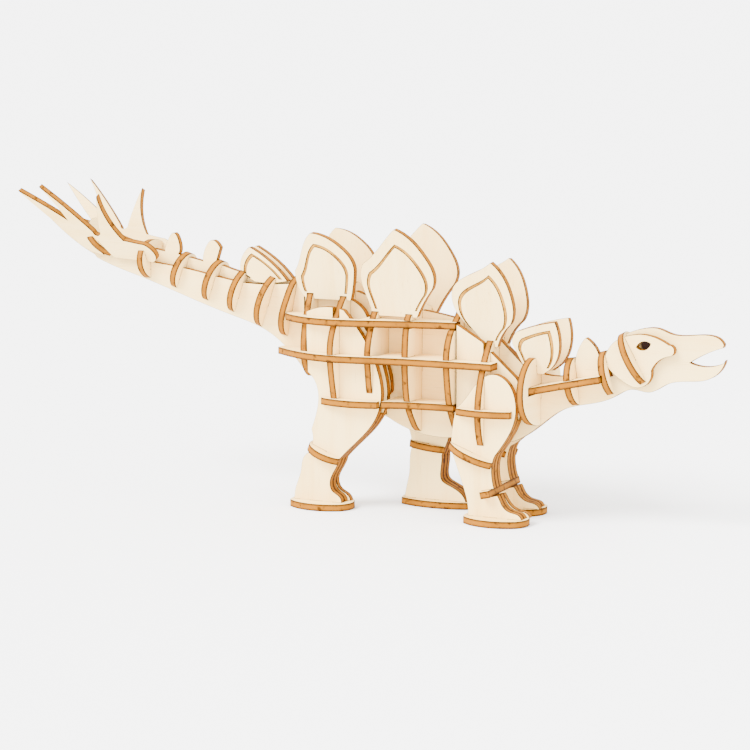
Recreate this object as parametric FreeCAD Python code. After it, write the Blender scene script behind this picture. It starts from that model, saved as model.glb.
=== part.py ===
"""A stegosaurus built from flat plywood pieces that slot together: a three-dimensional wooden jigsaw.

Every piece is cut from one thickness of sheet. Upright boards run from nose to tail, ribs and rings
cross them, level belts tie the ribs together, and the back plates and tail spikes lean outward.
Where two pieces cross, each has a slot to half the crossing, so they halve into each other.

X runs from tail to head, Y to the animal's left, Z up. While the pieces are made, X = 0 is beside the
fourth rib. Before they are written, all of them are moved so that the origin is under the middle.
"""
import FreeCAD, Part
import math
import os

Vec = FreeCAD.Vector

# ---- driving dimensions, millimetres and degrees ----
SHEET = 2.5            # thickness of the plywood
FIT = 0.05             # clearance on each side of a slot
END_GAP = 0.1          # clearance at the bottom of a slot
HALF = SHEET / 2

# Distance from the middle plane to the middle of each pair of upright boards
TAIL_SIDE_Y = 2.5
CHEEK_Y = 2.5
HIP_BOARD_Y = 3.75
LEG_INNER_Y = 7.5
LEG_SPACER_Y = 10.0
LEG_OUTER_Y = 12.5

# Heights of the tops of the level belts
UPPER_BELT_TOP = 68.0
MIDDLE_BELT_TOP = 55.5
LOWER_BELT_TOP = 39.8

SOLE_TOP = SHEET
PLATE_LEAN = 7.0       # back plates lean outward from upright
SPIKE_LEAN = 25.0      # tail spikes lean outward further
FRONT_STRIDE = -2.7    # the left forefoot stands a little behind the right one

GROOVE_SIDE = 2.4      # engraved line on a back plate, in from its widest points
GROOVE_WIDTH = 1.0
GROOVE_DEPTH = 0.3
GROOVE_START = 2.5     # the line begins this far above the plate's lowest point

REACH = 400.0          # longer than any piece
MIN_CROSSING = 0.05    # a common volume below this is only a touch

RIGHT, LEFT = -1, 1    # sign of Y on each side of the animal


# ---- outlines ----
def outline(*runs):
    """A closed wire in the XY plane. Two points make a line, three an arc, more a smooth curve."""
    edges = []
    for run in runs:
        points = [Vec(a, b, 0) for a, b in run]
        if len(points) == 2:
            edges.append(Part.LineSegment(*points).toShape())
        elif len(points) == 3:
            edges.append(Part.Arc(*points).toShape())
        else:
            curve = Part.BSplineCurve()
            curve.interpolate(points)
            edges.append(curve.toShape())
    first, last = runs[0][0], runs[-1][-1]
    if math.dist(first, last) > 1e-6:
        edges.append(Part.LineSegment(Vec(*last, 0), Vec(*first, 0)).toShape())
    return Part.Wire(Part.__sortEdges__(edges))


def polygon(*points):
    return Part.makePolygon([Vec(a, b, 0) for a, b in points + points[:1]])


def ellipse(half_width, half_height):
    """An upright oval about the origin."""
    if half_height > half_width:
        curve = Part.Ellipse(Vec(0, half_height, 0), Vec(half_width, 0, 0), Vec(0, 0, 0))
    else:
        curve = Part.Ellipse(Vec(half_width, 0, 0), Vec(0, half_height, 0), Vec(0, 0, 0))
    return Part.Wire(curve.toShape())


def mirrored_profile(half):
    """A rib: one side of its outline from top to bottom, and the same again on the other side."""
    other = [(-a, b) for a, b in reversed(half)]
    return outline(half, [half[-1], other[0]], other)


# ---- pieces ----
class Piece:
    """A flat piece of sheet. Its outline is placed by an origin and two axes in its middle plane."""

    def __init__(self, wire, origin, along, up, holes=()):
        self.origin, self.along, self.up = Vec(*origin), Vec(*along), Vec(*up)
        self.normal = self.along.cross(self.up)
        face = Part.Face([wire] + list(holes)) if holes else Part.Face(wire)
        flat = face.extrude(Vec(0, 0, SHEET))
        flat.translate(Vec(0, 0, -HALF))
        self.shape = self.place(flat)

    def place(self, flat):
        """Carry a shape drawn flat, with the sheet's middle at Z = 0, to where the piece stands."""
        a, u, n, o = self.along, self.up, self.normal, self.origin
        matrix = FreeCAD.Matrix(a.x, u.x, n.x, o.x, a.y, u.y, n.y, o.y, a.z, u.z, n.z, o.z, 0, 0, 0, 1)
        placed = flat.copy()
        placed.Placement = FreeCAD.Placement(matrix).multiply(placed.Placement)
        return placed

    def cut(self, tool):
        self.shape = self.shape.cut(tool)

    def add(self, tool):
        self.shape = self.shape.fuse(tool).removeSplitter()


def upright(wire, y, holes=()):
    """A board along the animal, drawn in X and Z."""
    return Piece(wire, (0, y, 0), (1, 0, 0), (0, 0, 1), holes)


def crosswise(wire, x, z, tilt=0.0, holes=()):
    """A rib or ring across the animal, drawn in Y and height. Tilt leans its top forward."""
    t = math.radians(tilt)
    return Piece(wire, (x, 0, z), (0, 1, 0), (math.sin(t), 0, math.cos(t)), holes)


def level(wire, x, z, tilt=0.0, holes=()):
    """A belt or sole, drawn in X and Y. Tilt raises its front end."""
    t = math.radians(tilt)
    return Piece(wire, (x, 0, z), (math.cos(t), 0, math.sin(t)), (0, 1, 0), holes)


def leaning(wire, side, y, z, lean):
    """A back plate or spike plate, drawn in X and distance up its slope."""
    t = math.radians(lean)
    return Piece(wire, (0, side * y, z), (1, 0, 0), (0, side * math.sin(t), math.cos(t)))


def slot_tool(through, direction, start):
    """A long bar as thick as the slot for one piece. It runs from start along direction."""
    n = through.normal
    third = n.cross(direction)
    wide, deep = SHEET + 2 * FIT, 4 * SHEET
    bar = Part.makeBox(REACH, wide, deep, Vec(0, -wide / 2, -deep / 2))
    base = start
    matrix = FreeCAD.Matrix(direction.x, n.x, -third.x, base.x, direction.y, n.y, -third.y, base.y,
                            direction.z, n.z, -third.z, base.z, 0, 0, 0, 1)
    bar.Placement = FreeCAD.Placement(matrix)
    return bar


def halve(a, b, opening, share=0.5):
    """Halve two crossing pieces: the slot in a opens along opening, and the one in b the other way."""
    common = a.shape.common(b.shape)
    if common.Volume < MIN_CROSSING:
        return
    line = a.normal.cross(b.normal)
    line.normalize()
    cosine = a.normal.dot(b.normal)
    if line.dot(Vec(*opening)) < 0:
        line = line * -1
    for solid in common.Solids:
        if solid.Volume < MIN_CROSSING:
            continue
        reach = [v.Point.dot(line) for v in solid.Vertexes]
        low, high = min(reach), max(reach)
        split = high - share * (high - low)
        # slide the point onto the line where the two middle planes meet
        centre = solid.CenterOfMass
        off_a = (a.origin - centre).dot(a.normal)
        off_b = (b.origin - centre).dot(b.normal)
        centre = centre + a.normal * ((off_a - cosine * off_b) / (1 - cosine ** 2))
        centre = centre + b.normal * ((off_b - cosine * off_a) / (1 - cosine ** 2))
        step = centre + line * (split - centre.dot(line))
        a.cut(slot_tool(b, line, step - line * END_GAP))
        b.cut(slot_tool(a, line * -1, step + line * END_GAP))


def mortise(host, guest):
    """Cut a close hole through host where guest passes into it."""
    common = host.shape.common(guest.shape)
    if common.Volume < MIN_CROSSING:
        return
    for solid in common.Solids:
        box = solid.BoundBox
        hole = Part.makeBox(box.XLength + 2 * FIT, box.YLength + 2 * FIT, box.ZLength + 2 * FIT,
                            Vec(box.XMin - FIT, box.YMin - FIT, box.ZMin - FIT))
        host.cut(hole)


def drawn_in(runs, sides, top):
    """The same outline drawn smaller from its foot, so that its sides and its tip move in."""
    us = [u for run in runs for u, _ in run]
    vs = [v for run in runs for _, v in run]
    middle, half = (min(us) + max(us)) / 2, (max(us) - min(us)) / 2
    foot, height = min(vs), max(vs) - min(vs)
    return [[(middle + (u - middle) * (1 - sides / half), foot + (v - foot) * (1 - top / height))
             for u, v in run] for run in runs]


def engrave(piece, runs, side, top):
    """A shallow line on the outer face of a back plate, in from its sides and down from its tip by top."""
    size = min(1.0, (max(v for run in runs for _, v in run) - min(v for run in runs for _, v in run)) / 20)
    sides = GROOVE_SIDE * size
    around = Part.Face(outline(*drawn_in(runs, sides, top)))
    within = Part.Face(outline(*drawn_in(runs, sides + GROOVE_WIDTH, top + GROOVE_WIDTH)))
    line = around.cut(within).extrude(Vec(0, 0, 2 * GROOVE_DEPTH))
    foot = min(v for run in runs for _, v in run)
    below = Part.makeBox(REACH, REACH, REACH, Vec(-REACH / 2, foot + GROOVE_START * size - REACH, -REACH / 2))
    line = line.cut(below)
    # the normal of every leaning or upright piece points to -Y, so it is the right side's outer face
    line.translate(Vec(0, 0, HALF - GROOVE_DEPTH if side == RIGHT else -HALF - GROOVE_DEPTH))
    piece.cut(piece.place(line))


# ---- the middle boards ----
TAIL_JOINT_X = -42.6   # the tail board meets the body board here, between the side boards

BODY_TOP = [[(TAIL_JOINT_X, 79.2), (-38, 78.2), (-26, 77.3), (-13, 76.3)], [(-13, 76.3), (-0.5, 72.6)],
            [(-0.5, 72.6), (14, 70.8), (26, 68.8), (35, 66.2), (42.6, 62.2)], [(42.6, 62.2), (51.6, 53.7)],
            [(51.6, 53.7), (60, 51.2), (70.6, 52)]]
NECK_SPIKE = [[(70.6, 52), (71, 59.5), (74, 64.8)], [(74, 64.8), (78.8, 59.5), (79.4, 55)]]
HEAD_TOP = [[(79.4, 55), (83.5, 61.5), (88, 66.5), (94.2, 69), (100, 69.4), (104.8, 67.8), (110, 67.6),
             (117, 68.2), (121.3, 67.2), (123, 65.2)]]
MOUTH = [[(123, 65.2), (122.7, 64.2)], [(122.7, 64.2), (118, 62.4), (111.2, 58.6)],
         [(111.2, 58.6), (117, 57.6), (123, 59.2)], [(123, 59.2), (123.6, 60.3)]]
JAW = [[(123.6, 60.3), (122.6, 57.4), (117.9, 53.4), (109.3, 52.1), (103.5, 50.8), (97, 47.6), (91.4, 48.2),
        (83.9, 44.8), (76.7, 42.4), (66, 39.4), (59.5, 34.8), (51, 28.6), (44, 26.3)]]
BELLY = [[(44, 26.3), (34, 25.6), (24.8, 26.8)], [(24.8, 26.8), (12, 27.4), (0, 32)],
         [(0, 32), (-24, 41)], [(-24, 41), (-32.3, 46.8), (-38.4, 54), (TAIL_JOINT_X, 57.6)]]

TAIL_TOP = [[(TAIL_JOINT_X, 79.2), (-55, 80), (-68, 83.2)],
            [(-68, 83.2), (-67.2, 88.4), (-70.8, 91.7), (-73.8, 88.4), (-74.6, 83.9)],
            [(-74.6, 83.9), (-85, 86)],
            [(-85, 86), (-84.8, 90.8), (-86.8, 93.7), (-89.4, 90.8), (-90.6, 86.8)],
            [(-90.6, 86.8), (-102, 89.3), (-114, 93.2), (-127, 97.2), (-134, 97.6), (-139.2, 96.2)]]
TAIL_UNDER = [[(-139.2, 96.2), (-131, 90), (-122, 84.8), (-112, 81), (-100, 77.4), (-76, 69.6), (-60, 64.8),
               (-48, 60.6), (TAIL_JOINT_X, 57.6)]]

KEY_LENGTH, KEY_NECK, KEY_HEAD, KEY_Z = 4.0, 2.0, 3.0, 61.5   # dovetail between the two boards


def dovetail(grow):
    """The key on the front of the tail board, and, a little larger, its socket in the body board."""
    x, z, n, h = TAIL_JOINT_X, KEY_Z, KEY_NECK + grow, KEY_HEAD + grow
    return upright(polygon((x - grow - 0.5, z - n), (x + KEY_LENGTH + grow, z - h),
                           (x + KEY_LENGTH + grow, z + h), (x - grow - 0.5, z + n)), 0).shape


def body_board():
    board = upright(outline(*BODY_TOP, *NECK_SPIKE, *HEAD_TOP, *MOUTH, *JAW, *BELLY), 0)
    board.cut(dovetail(FIT))
    return board


def tail_board():
    board = upright(outline(*TAIL_TOP, *TAIL_UNDER), 0)
    board.shape.translate(Vec(-FIT, 0, 0))
    board.add(dovetail(0))
    return board


# ---- boards beside the middle ----
def tail_side_board(side):
    """It covers the joint in the middle boards and follows the underside of the tail."""
    return upright(outline(
        [(-117, 88.8), (-104.8, 85.7), (-96, 83.2), (-86.6, 82), (-72, 79.7), (-57.6, 77.4), (-46, 77.2)],
        [(-46, 77.2), (-32, 78.2)], [(-32, 78.2), (-32, 46.9)],
        [(-32, 46.9), (-39, 54.6), (-47.2, 60.4), (-60, 64.8), (-76, 69.6), (-100, 77.4), (-112, 81),
         (-118.2, 83.4)],
        [(-118.2, 83.4), (-119.4, 86.6), (-117, 88.8)]), side * TAIL_SIDE_Y)


def hip_board(side):
    return upright(outline(
        [(-31, 73.6), (-15, 74)], [(-15, 74), (-11.2, 72.8), (-6.5, 67.5)],
        [(-6.5, 67.5), (-1.5, 58), (2.4, 47), (2.8, 42)], [(2.8, 42), (-4, 37.6), (-12, 38.4)],
        [(-12, 38.4), (-22, 42), (-31, 49.5)]), side * HIP_BOARD_Y)


def cheek(side):
    eye = outline([(93.2, 63), (95.4, 65), (98.3, 64.5)], [(98.3, 64.5), (96, 62.2), (93.2, 63)])
    return upright(outline(
        [(86.9, 65.4), (83.2, 61.8), (82.2, 57.6), (85.1, 53.6), (88.5, 51.2), (92.8, 49.4), (97, 50.6)],
        [(97, 50.6), (98.5, 53), (98.6, 55.4)], [(98.6, 55.4), (100.4, 58.2), (104.9, 60.6)],
        [(104.9, 60.6), (106.6, 62.6), (104.6, 64.4)],
        [(104.6, 64.4), (100.5, 66.4), (95.8, 67.4), (91.5, 67), (86.9, 65.4)]), side * CHEEK_Y, [eye])


# ---- legs ----
# The hind legs are in mid-step, so each has its own shin. The forelegs are alike, and the left one
# stands a little further back.
HIND_SHIN_FRONT = {
    RIGHT: [(-13.2, 17.9), (-15.2, 13.6), (-16.8, 9.6), (-16, 6.6), (-13.6, 5), (-12.3, 2.5)],
    LEFT: [(17.2, 18.5), (16.8, 13), (17.2, 9.8), (20, 8), (23.6, 6), (25.6, 2.5)]}
HIND_SHIN_REAR = {
    RIGHT: [(-31, 2.5), (-30.2, 7.4), (-28.4, 12.6), (-27.6, 17), (-24.8, 19.8)],
    LEFT: [(2.8, 2.5), (3.4, 6), (4.6, 12), (4.8, 17.3), (5.4, 20.4)]}
FORE_SHIN_FRONT = [(46.4, 24.1), (45.2, 20), (45.4, 15.6), (46.4, 12), (47.8, 9.6), (49.6, 6.4), (52, 4.9),
                   (54.8, 4.3), (56.4, 2.5)]
FORE_SHIN_REAR = [(36.4, 2.5), (36.2, 7), (34.8, 12), (32.6, 18), (30, 25.2)]

# Knee plates: place, height and tilt, where a negative tilt slopes down towards the toes
HIND_KNEE = {RIGHT: (-18.4, 19.2, -21.0), LEFT: (12.0, 21.2, -6.0)}
FORE_KNEE = (37.8, 23.2, -20.0)
# Soles: heel and toe
HIND_SOLE = {RIGHT: (-31.8, -11.4), LEFT: (1.8, 27.0)}
FORE_SOLE = (35.4, 55.6)


def stride(points, side):
    """Points of a foreleg, carried back if it is the left one."""
    return [(x + (FRONT_STRIDE if side == LEFT else 0), z) for x, z in points]


INNER_TOE = 1.4        # the inner plate's toe reaches further than the outer one's
ANKLE_Z = 9.0


def toe_forward(points):
    """The same points with those below the ankle carried forward, the lowest one most."""
    return [(x + INNER_TOE * max(0, 1 - z / ANKLE_Z), z) for x, z in points]


def shin(side, hind):
    """The front and rear edges of a shin, from knee to toe and from heel to knee."""
    if hind:
        return HIND_SHIN_FRONT[side], HIND_SHIN_REAR[side]
    return stride(FORE_SHIN_FRONT, side), stride(FORE_SHIN_REAR, side)


def hind_leg_plate(side, y, top):
    """Thigh and shin in one piece. The left thigh reaches forward to its knee."""
    shin_front, shin_rear = shin(side, True)
    if y == LEG_INNER_Y:
        shin_front = toe_forward(shin_front)
    if side == RIGHT:
        front = [(-6.2, 65.1), (-1.2, 57.4), (2.2, 49), (3.2, 41), (1, 33.4), (-4.6, 26.4), shin_front[0]]
        rear = [[shin_rear[-1], (-23.5, 24.8), (-24.1, 28)],
                [(-24.1, 28), (-22, 34.5), (-21.4, 41), (-25.4, 48.3)], [(-25.4, 48.3), (-25.9, 61)]]
    else:
        front = [(-6.2, 65.1), (3, 59), (12, 52.6), (18.6, 46), (22, 38.6), (21.4, 30), shin_front[0]]
        rear = [[shin_rear[-1], (4.8, 26), (1, 32)],
                [(1, 32), (-6, 38), (-16, 43.4), (-25.9, 50.5)], [(-25.9, 50.5), (-25.9, 61)]]
    if top == "hip":
        crown = [[(-25.9, 61), (-25.9, 69.6)], [(-25.9, 69.6), (-19, 71.6), (-11.3, 70.8)],
                 [(-11.3, 70.8), front[0]]]
    else:
        crown = [[(-25.9, 61), (-16, 64), front[0]]]
    return upright(outline(front, shin_front, [shin_front[-1], shin_rear[0]], shin_rear, *rear, *crown),
                   side * y)


def fore_leg_outer(side, y=LEG_OUTER_Y):
    shin_front, shin_rear = shin(side, False)
    return upright(outline(
        stride([(30, 25.2), (30.2, 30), (31.8, 39.6)], side),
        stride([(31.8, 39.6), (37, 45.4), (41, 50), (45.6, 52), (50.4, 50), (53.6, 44), (53.5, 36.6),
                (50.8, 30.4), (46.4, 24.1)], side),
        shin_front, [shin_front[-1], shin_rear[0]], shin_rear), side * y)


def fore_leg_inner(side):
    """The shoulder board and the inner half of the foreleg in one piece."""
    shin_front, shin_rear = shin(side, False)
    shin_front = toe_forward(shin_front)
    return upright(outline(
        [shin_rear[-1], (29.6, 32)], [(29.6, 32), (29.6, 67.6)],
        [(29.6, 67.6), (39, 62.2)], [(39, 62.2), (42.6, 58.6)], [(42.6, 58.6), (51.7, 50.6)],
        [(51.7, 50.6), (54, 45), (53.4, 37), (50.6, 30.4), shin_front[0]],
        shin_front, [shin_front[-1], shin_rear[0]], shin_rear), side * LEG_INNER_Y)


def shin_spacer(side, hind):
    """It fills the gap between the outer and the inner plate, from the foot to under the ribs."""
    if hind:
        spacer = hind_leg_plate(side, LEG_SPACER_Y, "thigh")
        spacer.cut(Part.makeBox(REACH, REACH, REACH, Vec(-REACH / 2, -REACH / 2, 35)))
    else:
        spacer = fore_leg_outer(side, LEG_SPACER_Y)
        spacer.cut(Part.makeBox(REACH, REACH, REACH, Vec(-REACH / 2, -REACH / 2, 36.4)))
        spacer.cut(Part.makeBox(REACH, REACH, REACH, Vec(43 - REACH, -REACH / 2, 26.8)))
    return spacer


def knee_plate(side, hind):
    x, z, tilt = HIND_KNEE[side] if hind else FORE_KNEE
    if not hind and side == LEFT:
        x += FRONT_STRIDE
    back, front = (-7.4, 5.6 if side == RIGHT else 7.2) if hind else (-9, 8.0)
    s = side
    return level(outline(
        [(back, s * 6.4), (back - 0.8, s * 10), (back, s * 13.8)],
        [(back, s * 13.8), (-1, s * 18), (front, s * 14.8)],
        [(front, s * 14.8), (front - 0.6, s * 6.3)],
        [(front - 0.6, s * 6.3), (0, s * 4.6), (back, s * 6.4)]), x, z, tilt)


def sole(side, hind):
    heel, toe = HIND_SOLE[side] if hind else FORE_SOLE
    if not hind and side == LEFT:
        heel, toe = heel + FRONT_STRIDE, toe + FRONT_STRIDE
    s, middle = side, (heel + toe) / 2
    return level(outline(
        [(heel, s * 5.8), (heel - 1, s * 10.6), (heel, s * 15.4)],
        [(heel, s * 15.4), (middle - 2, s * 19.4), (toe, s * 16.6)],
        [(toe, s * 16.6), (toe + 2, s * 12.2), (toe, s * 5.6)],
        [(toe, s * 5.6), (middle, s * 3), (heel, s * 5.8)]), 0, SOLE_TOP - HALF)


def foot_tabs(plate, the_sole, centre_x):
    """Two short tenons under a leg plate, in slots through the sole."""
    y = plate.origin.y
    for offset in (-5.0, 4.0):
        tab = Part.makeBox(4.0, SHEET, SHEET + 0.2, Vec(centre_x + offset - 2, y - HALF, 0))
        hole = Part.makeBox(4.0 + 2 * FIT, SHEET + 2 * FIT, SHEET + 1,
                            Vec(centre_x + offset - 2 - FIT, y - HALF - FIT, -0.5))
        the_sole.cut(hole)
        plate.add(tab)


BRACE_X, BRACE_Z, BRACE_TILT = 42.5, 10.4, 14.0
BRACE_HALF_WIDTH = 1.8
BRACE_HALF_LENGTH = 17.0   # its near end stands out beyond the outer leg plate
BRACE_SKEW = 1.6           # how far its ends are fore and aft, as the left foot stands further back


def foreleg_brace():
    """A bar laid into notches in the front of both ankles."""
    a, b, k = BRACE_HALF_WIDTH, BRACE_HALF_LENGTH, BRACE_SKEW
    return level(polygon((k - a, -b), (k + a, -b), (a - k, b), (-k - a, b)), BRACE_X, BRACE_Z, BRACE_TILT)


def brace_notch():
    """The same bar with clearance behind, above and below, run out to the front, to cut its notches."""
    a, b, k, c = BRACE_HALF_WIDTH + FIT, 1.5 * BRACE_HALF_LENGTH, 1.5 * BRACE_SKEW, HALF + FIT
    reach = 8.0
    flat = Part.Face(polygon((k - a, -b), (k + reach, -b), (reach - k, b), (-k - a, b)))
    notch = flat.extrude(Vec(0, 0, 2 * c))
    notch.translate(Vec(0, 0, -c))
    notch.rotate(Vec(0, 0, 0), Vec(0, 1, 0), -BRACE_TILT)
    notch.translate(Vec(BRACE_X, 0, BRACE_Z))
    return notch


# ---- ribs and rings ----
# For each rib: place along the body, tilt, and one side of its outline from top to bottom.
# The heights in an outline are above the ground.
RIBS = {
    1: (-37.8, 11, [(0.8, 80.2), (4.4, 78.4), (7.6, 72.6), (9, 66), (6.8, 61), (2.4, 59)]),
    2: (-27.25, 0, [(0.8, 79.2), (3.6, 78.8), (7.6, 76.2), (10.2, 71), (13, 62), (13.4, 54), (11.2, 48.4),
                    (8, 46)]),
    3: (-14.25, 0, [(1.4, 79.2), (5, 77.2), (9.6, 73.4), (14, 68), (18.4, 59.6), (18, 49.6), (16, 41),
                    (15, 37.6)]),
    4: (-1.25, 0, [(2, 74), (5, 72.8), (9.4, 70.6), (13, 65), (15.6, 57.6), (15, 48.6), (12.9, 40),
                   (9, 35.6), (4.6, 33.6), (1.4, 33.2)]),
    5: (11.75, 0, [(2, 73.2), (4.6, 72), (9.6, 70), (12, 64.4), (12.8, 56.4), (12.4, 47), (10.2, 38),
                   (6, 31.8), (2.8, 28.8), (1.4, 28.2)]),
    6: (27.75, 0, [(2, 71.4), (5.4, 68.6), (9.8, 64.8), (13.2, 58), (12.8, 49), (10, 38), (6, 31.6),
                   (2.8, 28.4), (1.4, 28)]),
    7: (41.0, 0, [(2, 65.4), (5.6, 62.8), (10.4, 57), (14.2, 49.6), (16.4, 41.4), (16, 33), (13.9, 27.2)]),
    8: (56.7, 0, [(3, 57), (10, 56.6), (14.6, 53), (16.8, 48), (16, 41.4), (11.4, 36.4), (6, 34.2),
                  (1.4, 33.8)]),
}


def rib(number):
    x, tilt, half = RIBS[number]
    z = half[0][1]
    local = [(y, (height - z) / math.cos(math.radians(tilt))) for y, height in half]
    top_x = x + (z - 70.0) * math.tan(math.radians(tilt))
    return crosswise(mirrored_profile(local), top_x, z, tilt)


# Tail rings from tip to body: place, height, tilt, half-width and half-height
TAIL_RINGS = [
    (-116.6, 90.8, -40, 10.2, 8.2),
    (-96.6, 83.6, -2, 9.4, 7.2),
    (-83.6, 79.9, 18, 7.2, 7.0),
    (-70.2, 76.8, 18, 7.6, 7.9),
    (-59.2, 74.0, 18, 8.4, 8.6),
    (-47.4, 71.0, 18, 9.8, 10.2),
]
# Neck rings from body to head: place, height, tilt, half-width and half-height
NECK_RINGS = [(69.9, 49.5, -8, 7.6, 8.2), (82.6, 52.9, -15, 7.3, 8.0)]
HEAD_COLLAR = (91.7, 58.5, -29, 8.0, 9.8)


def ring(place):
    x, z, tilt, half_width, half_height = place
    return crosswise(ellipse(half_width, half_height), x, z, tilt)


# ---- belts ----
def belt(side, top, outer, inner):
    """A level strip. Its outer edge is a smooth curve, and its inner edge steps round the boards."""
    s = side
    edge = [(x, s * y) for x, y in outer]
    steps = [(x, s * y) for x, y in reversed(inner)]
    path = [edge[-1]] + steps + [edge[0]]
    return level(outline(edge, *[[a, b] for a, b in zip(path, path[1:])]), 0, top - HALF)


GAP = 0.05
BESIDE_MIDDLE = HALF + GAP
BESIDE_TAIL = TAIL_SIDE_Y + HALF + GAP
BESIDE_HIP = HIP_BOARD_Y + HALF + GAP
BESIDE_SHOULDER = LEG_INNER_Y + HALF + GAP
BESIDE_LEG = LEG_OUTER_Y + HALF + GAP


def upper_belt(side):
    front = -5.3
    return belt(side, UPPER_BELT_TOP,
                [(-36.6, 9.2), (-28, 15.2), (-15, 18), (-2, 15.4), (11, 11.4), (21, 8.8), (28.6, 7.8)],
                [(-36.6, BESIDE_TAIL), (-31.6, BESIDE_TAIL), (-31.6, BESIDE_HIP), (-26, BESIDE_HIP),
                 (-26, BESIDE_LEG), (front, BESIDE_LEG), (front, BESIDE_MIDDLE), (28.6, BESIDE_MIDDLE)])


def middle_belt(side):
    front = 1.8 if side == RIGHT else 13.0
    return belt(side, MIDDLE_BELT_TOP,
                [(-40.6, 7.6), (-36, 11), (-28, 15.8), (-15, 19.3), (-2, 18), (12, 15.6), (28, 14.6),
                 (45, 14.4)],
                [(-40.6, BESIDE_TAIL), (-31.6, BESIDE_TAIL), (-31.6, BESIDE_HIP), (-26, BESIDE_HIP),
                 (-26, BESIDE_LEG), (front, BESIDE_LEG), (front, BESIDE_MIDDLE), (29.4, BESIDE_MIDDLE),
                 (29.4, BESIDE_SHOULDER), (45, BESIDE_SHOULDER)])


def hip_belt(side):
    back, front = (-19.6, 2.6) if side == RIGHT else (-17.6, 20.0)
    middle = (back + front) / 2
    return belt(side, LOWER_BELT_TOP, [(back, 15.2), (middle, 18), (front, 15.8)],
                [(back, BESIDE_LEG), (front, BESIDE_LEG)])


def belly_belt(side):
    if side == RIGHT:
        outer = [(3.6, 14.6), (9, 12.4), (19, 10.6), (29.2, 10)]
    else:
        outer = [(22.6, 10.4), (26, 10.2), (29.2, 10)]
    return belt(side, LOWER_BELT_TOP, outer, [(outer[0][0], BESIDE_MIDDLE), (29.2, BESIDE_MIDDLE)])


def shoulder_belt(side):
    return belt(side, LOWER_BELT_TOP, [(32.4, 15.6), (42, 18), (52.6, 15.6)],
                [(32.4, BESIDE_LEG), (52.6, BESIDE_LEG)])


NECK_STRIP_TILT = 12.0


def neck_strip(side):
    """It runs up the neck from the last rib to the second neck ring."""
    s = side
    return level(outline([(-13.9, s * 12.4), (-8, s * 11), (0, s * 9.2), (12.2, s * 8.6)],
                         [(12.2, s * 8.6), (12.2, s * BESIDE_MIDDLE)],
                         [(12.2, s * BESIDE_MIDDLE), (-13.9, s * BESIDE_MIDDLE)],
                         [(-13.9, s * BESIDE_MIDDLE), (-13.9, s * 12.4)]), 70.0, 49.2, NECK_STRIP_TILT)


# ---- back plates and tail spikes ----
# Heights up the slope start at the foot of each plate's slope. Y is where the slope starts.
BACK_PLATES = {
    2: (7.4, 78.0, 3.9, [
        [(-28.8, -4.4), (-31, -2), (-32.4, 1.6), (-32.8, 5.4)],
        [(-32.8, 5.4), (-30.4, 10.6), (-28.8, 15.2), (-25.8, 19.2)],
        [(-25.8, 19.2), (-20.4, 18), (-14.4, 14.4), (-10.6, 10.4), (-9.4, 6.8)],
        [(-9.4, 6.8), (-9.8, 2.8), (-11.4, -4.4)]]),
    3: (8.5, 73.2, 5.3, [
        [(-2.6, -4), (-4.4, 3.2), (-6.1, 9.6), (-4.8, 14.4)],
        [(-4.8, 14.4), (1, 19.6), (4.8, 24), (7.6, 26.8)],
        [(7.6, 26.8), (13.2, 23.6), (18.6, 17.6), (21.8, 11.2), (21, 6.2)],
        [(21, 6.2), (17.4, 1), (14.8, -4)]]),
    4: (4.6, 62.4, 4.4, [
        [(39.2, -2.2), (34.6, 3.4), (29.4, 8.6), (27.2, 14)],
        [(27.2, 14), (28.6, 19.2), (34, 22.8), (38.6, 25), (42.2, 27.4)],
        [(42.2, 27.4), (46.6, 22.4), (49.2, 15.8), (49.9, 10.2), (48.6, 6)],
        [(48.6, 6), (45.8, 2.8), (43.6, -2.2)]]),
    5: (4.3, 55.4, 3.0, [
        [(55, -3.4), (53, -0.6)], [(53, -0.6), (49.4, 6.4)], [(49.4, 6.4), (49.6, 9), (51.2, 11)],
        [(51.2, 11), (58, 13.4), (65.2, 15)],
        [(65.2, 15), (66.6, 8.4), (65, 1), (61.4, -2.6)], [(61.4, -2.6), (60.4, -3.4)]]),
}
FIRST_GROOVE_TOP = 2.4
FIRST_PLATE = [[(-57.8, 81), (-57.4, 86), (-54.2, 90.2)],
               [(-54.2, 90.2), (-49.4, 87.6), (-43.6, 83.4), (-38.9, 78.6)],
               [(-38.9, 78.6), (-46, 77.6), (-52, 77.8)], [(-52, 77.8), (-57.8, 81)]]

SPIKE_FOOT = (5.9, 86.0)   # Y and height where the slope of the spike plate starts
SPIKE_PLATE = [
    [(-93, -2.8), (-91.2, -0.8), (-92.4, 2.4), (-96.4, 4.6)], [(-96.4, 4.6), (-103.4, 5.8)],
    [(-103.4, 5.8), (-108, 14), (-109.8, 24)], [(-109.8, 24), (-111.6, 15.6), (-112.4, 9.4)],
    [(-112.4, 9.4), (-113.8, 7.4), (-115.4, 8.8)], [(-115.4, 8.8), (-124, 18), (-133.6, 27)],
    [(-133.6, 27), (-128.4, 19.6), (-125, 13.4)], [(-125, 13.4), (-133, 18.8), (-143.2, 25)],
    [(-143.2, 25), (-134, 15.4), (-124.6, 6.6)],
    [(-124.6, 6.6), (-118, 0.6), (-110, -1.4), (-100, -2.2), (-93, -2.8)]]


def back_plate(number, side):
    y, z, groove_top, runs = BACK_PLATES[number]
    plate = leaning(outline(*runs), side, y, z, PLATE_LEAN)
    engrave(plate, runs, side, groove_top)
    return plate


def first_back_plate(side):
    """The one nearest the tail stands upright against the tail board."""
    plate = upright(outline(*FIRST_PLATE), side * TAIL_SIDE_Y)
    engrave(plate, FIRST_PLATE, side, FIRST_GROOVE_TOP)
    return plate


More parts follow.
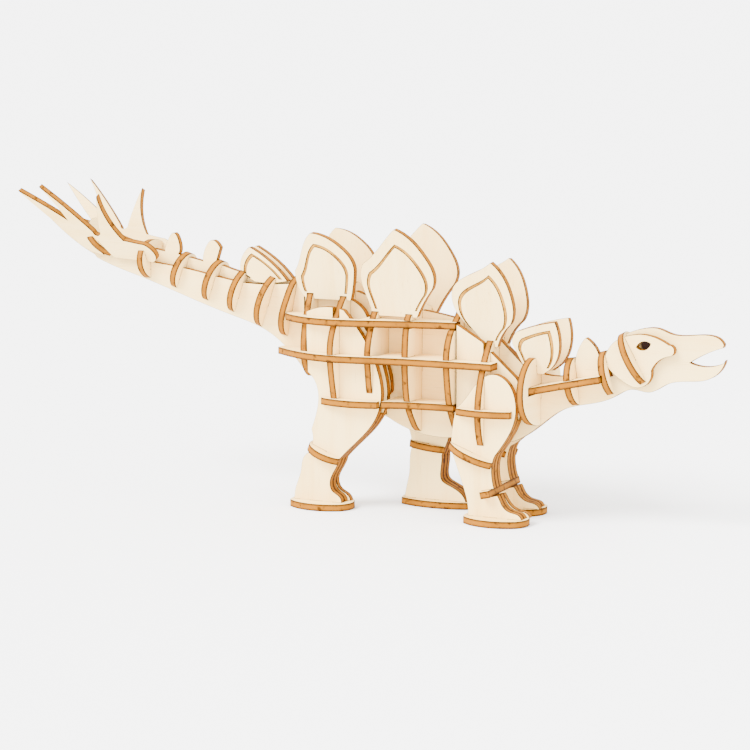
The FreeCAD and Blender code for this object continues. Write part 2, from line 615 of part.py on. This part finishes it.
def spike_plate(side):
    y, z = SPIKE_FOOT
    return leaning(outline(*SPIKE_PLATE), side, y, z, SPIKE_LEAN)


# ---- assembly ----
def build():
    """Make every piece, halve the ones that cross, and return the shapes by name."""
    UP, DOWN = (0, 0, 1), (0, 0, -1)
    sides = (("right", RIGHT), ("left", LEFT))
    pieces = {"body_board": body_board(), "tail_board": tail_board()}

    for name, s in sides:
        pieces["tail_side_board_" + name] = tail_side_board(s)
        pieces["hip_board_" + name] = hip_board(s)
        pieces["cheek_" + name] = cheek(s)
        pieces["hind_leg_outer_" + name] = hind_leg_plate(s, LEG_OUTER_Y, "hip")
        pieces["hind_leg_inner_" + name] = hind_leg_plate(s, LEG_INNER_Y, "thigh")
        pieces["fore_leg_outer_" + name] = fore_leg_outer(s)
        pieces["fore_leg_inner_" + name] = fore_leg_inner(s)
        pieces["upper_belt_" + name] = upper_belt(s)
        pieces["middle_belt_" + name] = middle_belt(s)
        pieces["back_plate_1_" + name] = first_back_plate(s)
        for number in BACK_PLATES:
            pieces["back_plate_%d_%s" % (number, name)] = back_plate(number, s)
        pieces["tail_spikes_" + name] = spike_plate(s)
    for number in RIBS:
        pieces["rib_%d" % number] = rib(number)
    for number, place in enumerate(TAIL_RINGS, 1):
        pieces["tail_ring_%d" % number] = ring(place)
    for number, place in enumerate(NECK_RINGS, 1):
        pieces["neck_ring_%d" % number] = ring(place)
    pieces["head_collar"] = ring(HEAD_COLLAR)
    pieces["foreleg_brace"] = foreleg_brace()

    # small pieces that come in twos and fours share a node
    groups = {
        "hip_belts": [hip_belt(s) for _, s in sides],
        "belly_belts": [belly_belt(s) for _, s in sides],
        "shoulder_belts": [shoulder_belt(s) for _, s in sides],
        "neck_strips": [neck_strip(s) for _, s in sides],
        "shin_spacers": [shin_spacer(s, hind) for _, s in sides for hind in (True, False)],
        "knee_plates": [knee_plate(s, hind) for _, s in sides for hind in (True, False)],
        "soles": [sole(s, hind) for _, s in sides for hind in (True, False)],
    }

    def named(*starts):
        return [p for n, p in pieces.items() if n.startswith(starts)]

    ribs, rings = named("rib_"), named("tail_ring", "neck_ring", "head_collar")
    boards = named("body_board", "tail_board", "tail_side", "hip_board", "cheek", "hind_leg", "fore_leg")
    legs = named("hind_leg", "fore_leg") + groups["shin_spacers"]

    for cross in ribs + rings:
        for board in boards:
            halve(board, cross, UP)
    belts = named("upper_belt", "middle_belt")
    belts += groups["hip_belts"] + groups["belly_belts"] + groups["shoulder_belts"]
    for strip in belts:
        inward = (0, 1, 0) if strip.shape.CenterOfMass.y < 0 else (0, -1, 0)
        for cross in ribs + rings:
            halve(strip, cross, inward)
    for strip in groups["neck_strips"]:
        inward = (0, 1, 0) if strip.shape.CenterOfMass.y < 0 else (0, -1, 0)
        halve(strip, pieces["neck_ring_1"], inward)
        mortise(pieces["rib_8"], strip)
        mortise(pieces["neck_ring_2"], strip)
    for plate in named("back_plate"):
        for cross in ribs + rings:
            halve(cross, plate, UP)
    for plate in named("tail_spikes"):
        for cross in rings:
            halve(cross, plate, UP)
    for knee in groups["knee_plates"]:
        for leg in legs:
            halve(knee, leg, (1, 0, 0))
    for leg in legs:
        leg.cut(brace_notch())
    for the_sole in groups["soles"]:
        box = the_sole.shape.BoundBox
        middle = box.XMin + 0.47 * box.XLength
        for leg in named("hind_leg", "fore_leg"):
            y = leg.origin.y
            if box.YMin < y < box.YMax and leg.shape.BoundBox.XMin < middle < leg.shape.BoundBox.XMax:
                near = leg.shape.common(Part.makeBox(6, 6, 3, Vec(middle - 3, y - 3, SOLE_TOP)))
                if near.Volume > 1:
                    foot_tabs(leg, the_sole, middle)

    shapes = {name: piece.shape for name, piece in pieces.items()}
    for name, group in groups.items():
        shapes[name] = Part.Compound([solid for piece in group for solid in piece.shape.Solids])
    return shapes


def centred(shapes):
    """Move everything so that the origin is on the ground under the middle of the length."""
    whole = Part.Compound(list(shapes.values())).BoundBox
    shift = Vec(-(whole.XMin + whole.XMax) / 2, -(whole.YMin + whole.YMax) / 2, -whole.ZMin)
    for shape in shapes.values():
        shape.translate(shift)
    return shapes


if __name__ == "__main__":
    os.makedirs("parts", exist_ok=True)
    for node, solid in centred(build()).items():
        solid.exportStep("parts/" + node + ".step")
        print(node, len(solid.Solids), "solids", round(solid.Volume, 1), "mm3")
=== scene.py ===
"""Looks for the wooden stegosaurus: fine plywood with browned, laser-cut edges, in soft studio light.

Every piece is a CAD node and keeps its shape. This script sorts each node's faces into sheet faces, cut
edges and engraved lines, and gives each kind its own material. Modifiers then join the triangles into
flat faces and add a hairline bevel, which carries the dark line that a laser leaves along both sides of
a cut. Lengths are in metres.
"""
import math

import bpy
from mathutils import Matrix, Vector


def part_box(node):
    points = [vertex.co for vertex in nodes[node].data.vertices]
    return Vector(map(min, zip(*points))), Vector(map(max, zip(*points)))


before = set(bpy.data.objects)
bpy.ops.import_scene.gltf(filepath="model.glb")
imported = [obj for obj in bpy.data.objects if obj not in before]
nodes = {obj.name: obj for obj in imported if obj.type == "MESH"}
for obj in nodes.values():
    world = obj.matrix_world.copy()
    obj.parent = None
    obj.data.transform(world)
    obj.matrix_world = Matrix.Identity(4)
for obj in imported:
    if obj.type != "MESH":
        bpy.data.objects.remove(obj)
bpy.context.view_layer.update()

# ---- driving values ----
MM = 0.001

# Sorting faces.
FLAT_COSINE = 0.94              # a face this square to its sheet is a sheet face, any other is a cut edge
ENGRAVED_DEPTH = 0.97           # a flat face less far from the sheet's middle, as a share, is engraved
PLACES_PER_METRE = 1e6          # vertices that round to the same micrometre belong to one solid
NORMAL_DIGITS = 1               # directions that round alike count as one

# The burnt line along every corner.
WELD = 0.001 * MM               # vertices nearer than this become one, so that faces share their corners
FLAT_ANGLE = math.radians(0.3)  # neighbours that turn less than this become one face
CORNER_ANGLE = math.radians(38)
BURNT_WIDTH = 0.12 * MM         # how far the line reaches in from the corner, on both sides

# Camera. At azimuth 0 it looks along +Y, and it moves round towards +X.
CAMERA_AZIMUTH = math.radians(26.3)
CAMERA_ELEVATION = math.radians(8.5)
CAMERA_DISTANCE = 0.917
CAMERA_TARGET = Vector((0.0039, 0, 0.0466))
CAMERA_LENS = 124.8             # millimetres, as is the sensor
CAMERA_SENSOR = 36.0

# Light and floor.
WORLD_STRENGTH = 4.0
KEY_TOWARDS = Vector((-0.55, -0.75, 0.95))
KEY_SOFTNESS = math.radians(30)
KEY_STRENGTH = 11.0
FILL_PLACE = Vector((0.75, -0.70, 0.45))
FILL_SIZE = 0.8
FILL_POWER = 8.0
WHITE = (1, 1, 1, 1)
FLOOR_REACH = 60.0
FLOOR_WHITE = (0.93, 0.93, 0.93, 1)
FLOOR_ROUGHNESS = 0.9

# Base colours.
FACE_PALE = (0.88, 0.64, 0.27, 1)
FACE_WARM = (0.80, 0.51, 0.15, 1)
FACE_FLECK = (0.46, 0.24, 0.06, 1)
ENGRAVED_LIGHT = (0.46, 0.215, 0.028, 1)
ENGRAVED_DARK = (0.19, 0.070, 0.006, 1)
EDGE_CORE = (0.26, 0.094, 0.0032, 1)
EDGE_TOASTED = (0.080, 0.0245, 0.0020, 1)
EDGE_BURNT = (0.019, 0.0052, 0.0012, 1)
SANDED_SPECULAR = 0.15
BURNT_SPECULAR = 0.04

# Grain. A pattern's scale is multiplied by these, so the low one draws it out along the grain.
ACROSS_GRAIN, ALONG_GRAIN = 1.0, 0.045
GRAIN_STRETCH = {
    "x": (ALONG_GRAIN, ACROSS_GRAIN, ACROSS_GRAIN),
    "y": (ACROSS_GRAIN, ALONG_GRAIN, ACROSS_GRAIN),
    "z": (ACROSS_GRAIN, ACROSS_GRAIN, ALONG_GRAIN),
}
PORE_OFFSET = (0.31, 0.17, 0.23)  # keeps the pores from following the fibres' own pattern

# Painted shade on the body board, seen through the eye holes in the cheeks: a dark patch that stands in
# for the shade inside the holes.
EYE_ALONG, EYE_UP = 0.55, 0.79  # the holes' place, as shares of a cheek's length and height
EYE_DARK_RADIUS = 1.3 * MM
EYE_CLEAR_RADIUS = 3.2 * MM
EYE_RAGGED = 1.2 * MM


# ---- material building ----
NOISE_MIDDLE = 0.5
NOISE_LOW, NOISE_HIGH = 0.3, 0.7  # nearly all of a noise lies between these
MIX_FACTOR, MIX_FIRST, MIX_SECOND, MIX_RESULT = 0, 6, 7, 2  # where a Mix node keeps its colour sockets


class Shader:
    """A material with its node tree, and short calls that add and join nodes."""

    def __init__(self, name):
        self.material = bpy.data.materials.new(name)
        self.material.use_nodes = True
        self.tree = self.material.node_tree
        self.surface = self.tree.nodes["Principled BSDF"]

    def put(self, socket, value):
        """Join another node's output to a socket, or set the socket to a number, colour or vector."""
        if isinstance(value, bpy.types.NodeSocket):
            self.tree.links.new(value, socket)
        else:
            socket.default_value = value

    def add(self, kind, inputs=None, **settings):
        node = self.tree.nodes.new(kind)
        for key, value in settings.items():
            setattr(node, key, value)
        for key, value in (inputs or {}).items():
            self.put(node.inputs[key], value)
        return node

    def math(self, operation, first, second=0.0, clamp=False):
        node = self.add("ShaderNodeMath", {0: first, 1: second}, operation=operation, use_clamp=clamp)
        return node.outputs[0]

    def weighted_sum(self, *parts):
        """The sum of values, each given with its weight."""
        total, *others = [self.math("MULTIPLY", value, weight) for value, weight in parts]
        for other in others:
            total = self.math("ADD", total, other)
        return total

    def unsettle(self, value, noise, amount):
        """A value moved up and down by a noise."""
        change = self.math("MULTIPLY", self.math("SUBTRACT", noise, NOISE_MIDDLE), amount)
        return self.math("ADD", value, change)

    def place(self, stretch=(1, 1, 1), offset=(0, 0, 0)):
        """Row-frame position with each axis multiplied."""
        position = self.add("ShaderNodeTexCoord").outputs["Object"]
        inputs = {"Vector": position, "Scale": stretch, "Location": offset}
        return self.add("ShaderNodeMapping", inputs).outputs["Vector"]

    def noise(self, vector, scale, detail, roughness, distortion=0.0):
        """Noise whose scale is in cells to the metre."""
        inputs = {"Vector": vector, "Scale": scale, "Detail": detail, "Roughness": roughness,
                  "Distortion": distortion}
        return self.add("ShaderNodeTexNoise", inputs).outputs["Fac"]

    def remap(self, value, low, high, to_low=0.0, to_high=1.0):
        """A value that goes smoothly from to_low to to_high while the given one goes from low to high."""
        inputs = {"Value": value, "From Min": low, "From Max": high, "To Min": to_low, "To Max": to_high}
        return self.add("ShaderNodeMapRange", inputs, interpolation_type="SMOOTHSTEP").outputs["Result"]

    def mix(self, factor, first, second):
        inputs = {MIX_FACTOR: factor, MIX_FIRST: first, MIX_SECOND: second}
        return self.add("ShaderNodeMix", inputs, data_type="RGBA").outputs[MIX_RESULT]

    def bump(self, height, distance, strength):
        inputs = {"Height": height, "Distance": distance, "Strength": strength}
        self.put(self.surface.inputs["Normal"], self.add("ShaderNodeBump", inputs).outputs["Normal"])

    def finish(self, colour, roughness, specular):
        self.put(self.surface.inputs["Base Color"], colour)
        self.put(self.surface.inputs["Roughness"], roughness)
        self.put(self.surface.inputs["Specular IOR Level"], specular)
        return self.material


def sheet_face(axis, eye=None):
    """Pale sanded veneer: broad bands, fine fibres and short pores, all drawn out along one axis.

    With eye given, the wood round that place is darkened with painted shade, to show dark through the
    holes in the cheeks.
    """
    shader = Shader("ply_face_" + axis + ("_eye" if eye else ""))
    along = shader.place(GRAIN_STRETCH[axis])
    bands = shader.noise(along, scale=190.0, detail=2.0, roughness=0.5, distortion=0.6)
    fibres = shader.noise(along, scale=1500.0, detail=4.0, roughness=0.65)
    apart = shader.place(GRAIN_STRETCH[axis], PORE_OFFSET)
    pores = shader.noise(apart, scale=2600.0, detail=1.0, roughness=0.4)
    cloud = shader.noise(shader.place(), scale=26.0, detail=2.0, roughness=0.5)

    tone = shader.weighted_sum((bands, 0.5), (fibres, 0.3), (cloud, 0.3))
    warmth = shader.remap(tone, low=0.46, high=0.78, to_high=0.62)
    flecks = shader.remap(pores, low=0.66, high=0.80, to_high=0.34)
    colour = shader.mix(flecks, shader.mix(warmth, FACE_PALE, FACE_WARM), FACE_FLECK)
    if eye:
        # Painted shade: the body board darkens round the eye, standing in for the shade inside the eye
        # holes.
        ends = {0: shader.place((1, 0, 1)), 1: (eye.x, 0, eye.z)}
        away = shader.add("ShaderNodeVectorMath", ends, operation="DISTANCE").outputs["Value"]
        ragged = shader.unsettle(away, bands, EYE_RAGGED)
        eye_painted_shade = shader.remap(ragged, EYE_DARK_RADIUS, EYE_CLEAR_RADIUS, to_low=1.0, to_high=0.0)
        colour = shader.mix(eye_painted_shade, colour, EDGE_BURNT)
    height = shader.math("SUBTRACT", fibres, shader.math("MULTIPLY", pores, 0.7))
    shader.bump(height, distance=0.05 * MM, strength=0.35)
    roughness = shader.remap(fibres, NOISE_LOW, NOISE_HIGH, to_low=0.56, to_high=0.70)
    return shader.finish(colour, roughness, SANDED_SPECULAR)


def cut_edge():
    """A laser-cut wall: a tan core, toasted plies at each side and a scorched line at both corners."""
    shader = Shader("ply_cut_edge")
    through = shader.add("ShaderNodeAttribute", attribute_name="through").outputs["Fac"]
    everywhere = shader.place()
    patches = shader.noise(everywhere, scale=95.0, detail=3.0, roughness=0.6)
    streaks = shader.noise(everywhere, scale=900.0, detail=3.0, roughness=0.6)
    spots = shader.noise(everywhere, scale=420.0, detail=2.0, roughness=0.5)

    outward = shader.unsettle(shader.math("ABSOLUTE", through), streaks, 0.22)
    plies = shader.remap(outward, low=0.30, high=0.72)
    toast = shader.math("ADD", plies, shader.remap(patches, low=0.46, high=0.74, to_high=0.5), clamp=True)
    colour = shader.mix(shader.math("MULTIPLY", toast, 0.75), EDGE_CORE, EDGE_TOASTED)
    colour = shader.mix(shader.remap(spots, low=0.58, high=0.72, to_high=0.75), colour, EDGE_BURNT)
    colour = shader.mix(shader.remap(outward, low=0.60, high=0.94, to_high=0.9), colour, EDGE_BURNT)
    shader.bump(streaks, distance=0.08 * MM, strength=0.5)
    roughness = shader.remap(streaks, NOISE_LOW, NOISE_HIGH, to_low=0.6, to_high=0.8)
    return shader.finish(colour, roughness, BURNT_SPECULAR)


def burnt_line():
    """The hairline bevel: nearly black to brown, in patches."""
    shader = Shader("ply_burnt_line")
    patches = shader.noise(shader.place(), scale=240.0, detail=3.0, roughness=0.6)
    brown = shader.remap(patches, low=0.42, high=0.75, to_high=0.8)
    roughness = shader.remap(patches, NOISE_LOW, NOISE_HIGH, to_low=0.62, to_high=0.8)
    return shader.finish(shader.mix(brown, EDGE_BURNT, EDGE_TOASTED), roughness, BURNT_SPECULAR)


def engraved():
    """The floor of an engraved line: toasted light brown, darker in patches."""
    shader = Shader("ply_engraved")
    everywhere = shader.place()
    patches = shader.noise(everywhere, scale=160.0, detail=3.0, roughness=0.6)
    specks = shader.noise(everywhere, scale=1400.0, detail=3.0, roughness=0.6)
    tone = shader.weighted_sum((patches, 0.7), (specks, 0.3))
    colour = shader.mix(shader.remap(tone, low=0.36, high=0.66), ENGRAVED_LIGHT, ENGRAVED_DARK)
    shader.bump(specks, distance=0.06 * MM, strength=0.5)
    roughness = shader.remap(specks, NOISE_LOW, NOISE_HIGH, to_low=0.62, to_high=0.8)
    return shader.finish(colour, roughness, BURNT_SPECULAR)


# ---- sorting each node's faces ----
# The kinds of face, which are also the places of their materials on every node.
SHEET_FACE, CUT_EDGE, BURNT_LINE, ENGRAVED = range(4)


def solids(mesh):
    """Lists of polygon indices, one list for each separate solid in the mesh."""
    parent = {}

    def root(key):
        while parent.setdefault(key, key) != key:
            parent[key] = parent[parent[key]]
            key = parent[key]
        return key

    keys = [tuple(round(c * PLACES_PER_METRE) for c in vertex.co) for vertex in mesh.vertices]
    for polygon in mesh.polygons:
        first, *others = [keys[i] for i in polygon.vertices]
        for other in others:
            parent[root(other)] = root(first)
    groups = {}
    for polygon in mesh.polygons:
        groups.setdefault(root(keys[polygon.vertices[0]]), []).append(polygon.index)
    return list(groups.values())


def sheet_normal(mesh, members):
    """The direction that most of a solid's surface faces: square to the sheet it was cut from."""
    totals = {}
    for index in members:
        polygon = mesh.polygons[index]
        normal = polygon.normal
        if max(normal, key=abs) < 0:
            normal = -normal
        key = tuple(round(c, NORMAL_DIGITS) for c in normal)
        area, total = totals.get(key, (0.0, Vector()))
        totals[key] = (area + polygon.area, total + normal * polygon.area)
    return max(totals.values(), key=lambda entry: entry[0])[1].normalized()


def sort_faces(mesh):
    """Each face's kind, and the direction square to the first solid's sheet.

    The attribute "through" tells the shaders where a vertex lies in its sheet: -1 and 1 are its sides.
    """
    through = mesh.attributes.new("through", "FLOAT", "POINT")
    kinds = [SHEET_FACE] * len(mesh.polygons)
    normals = []
    for members in solids(mesh):
        normal = sheet_normal(mesh, members)
        normals.append(normal)
        corners = {i for index in members for i in mesh.polygons[index].vertices}
        levels = {i: mesh.vertices[i].co.dot(normal) for i in corners}
        low, high = min(levels.values()), max(levels.values())
        for i, level in levels.items():
            through.data[i].value = (2 * level - low - high) / (high - low)
        for index in members:
            polygon = mesh.polygons[index]
            if abs(polygon.normal.dot(normal)) < FLAT_COSINE:
                kinds[index] = CUT_EDGE
            elif all(abs(through.data[i].value) < ENGRAVED_DEPTH for i in polygon.vertices):
                kinds[index] = ENGRAVED
    return kinds, normals[0]


def grain_axis(name, normal):
    """The grain follows the longer side that the node has in the plane of its sheet."""
    low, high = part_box(name)
    size = high - low
    across = max(range(3), key=lambda axis: abs(normal[axis]))
    in_sheet = [axis for axis in range(3) if axis != across]
    return "xyz"[max(in_sheet, key=lambda axis: size[axis])]


def burn_corners(piece):
    """Join a piece's triangles into flat faces, then bevel its corners with the burnt line."""
    weld = piece.modifiers.new("weld", "WELD")
    weld.merge_threshold = WELD
    flat = piece.modifiers.new("flat", "DECIMATE")
    flat.decimate_type = "DISSOLVE"
    flat.angle_limit = FLAT_ANGLE
    flat.delimit = {"MATERIAL"}
    bevel = piece.modifiers.new("burnt_line", "BEVEL")
    bevel.width = BURNT_WIDTH
    bevel.segments = 1
    bevel.limit_method = "ANGLE"
    bevel.angle_limit = CORNER_ANGLE
    bevel.use_clamp_overlap = False
    bevel.material = BURNT_LINE


def dress(name, piece, finishes):
    """Give a node its materials, in the order of the kinds of face, and its burnt corners."""
    mesh = piece.data
    kinds, normal = sort_faces(mesh)
    mesh.materials.clear()
    for key in (grain_axis(name, normal), "edge", "line", "engraved"):
        mesh.materials.append(finishes[key])
    for polygon in mesh.polygons:
        polygon.material_index = kinds[polygon.index]
        polygon.use_smooth = False
    burn_corners(piece)


def dress_all():
    finishes = {axis: sheet_face(axis) for axis in "xyz"}
    finishes.update(edge=cut_edge(), line=burnt_line(), engraved=engraved())
    for name, piece in sorted(nodes.items()):
        dress(name, piece, finishes)

    # The body board gets painted shade behind the eye holes.
    low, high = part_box("cheek_right")
    eye = Vector((low.x + EYE_ALONG * (high.x - low.x), 0, low.z + EYE_UP * (high.z - low.z)))
    nodes["body_board"].data.materials[SHEET_FACE] = sheet_face("x", eye)


# ---- floor, light and camera ----
def add_object(name, data):
    thing = bpy.data.objects.new(name, data)
    bpy.context.scene.collection.objects.link(thing)
    return thing


def floor():
    mesh = bpy.data.meshes.new("floor")
    far = FLOOR_REACH
    mesh.from_pydata([(-far, -far, 0), (far, -far, 0), (far, far, 0), (-far, far, 0)], [], [(0, 1, 2, 3)])
    mesh.materials.append(Shader("floor_white").finish(FLOOR_WHITE, FLOOR_ROUGHNESS, specular=0.0))
    add_object("floor", mesh)


def world_light():
    world = bpy.data.worlds.new("studio")
    bpy.context.scene.world = world
    world.use_nodes = True
    background = world.node_tree.nodes["Background"]
    background.inputs["Color"].default_value = WHITE
    background.inputs["Strength"].default_value = WORLD_STRENGTH


def key_light():
    """An even light over the object and the whole floor, with soft shadows."""
    data = bpy.data.lights.new("key", "SUN")
    data.angle = KEY_SOFTNESS
    data.energy = KEY_STRENGTH
    lamp = add_object("key", data)
    lamp.rotation_euler = (-KEY_TOWARDS).to_track_quat("-Z", "Y").to_euler()


def fill_light():
    data = bpy.data.lights.new("fill", "AREA")
    data.shape = "DISK"
    data.size = FILL_SIZE
    data.energy = FILL_POWER
    lamp = add_object("fill", data)
    lamp.location = FILL_PLACE
    lamp.rotation_euler = (CAMERA_TARGET - FILL_PLACE).to_track_quat("-Z", "Y").to_euler()


def camera():
    data = bpy.data.cameras.new("camera")
    data.lens = CAMERA_LENS
    data.sensor_width = CAMERA_SENSOR
    viewer = add_object("camera", data)
    level = math.cos(CAMERA_ELEVATION)
    back = Vector((math.sin(CAMERA_AZIMUTH) * level, -math.cos(CAMERA_AZIMUTH) * level,
                   math.sin(CAMERA_ELEVATION)))
    viewer.location = CAMERA_TARGET + back * CAMERA_DISTANCE
    viewer.rotation_euler = (-back).to_track_quat("-Z", "Y").to_euler()
    bpy.context.scene.camera = viewer


dress_all()
floor()
world_light()
key_light()
fill_light()
camera()
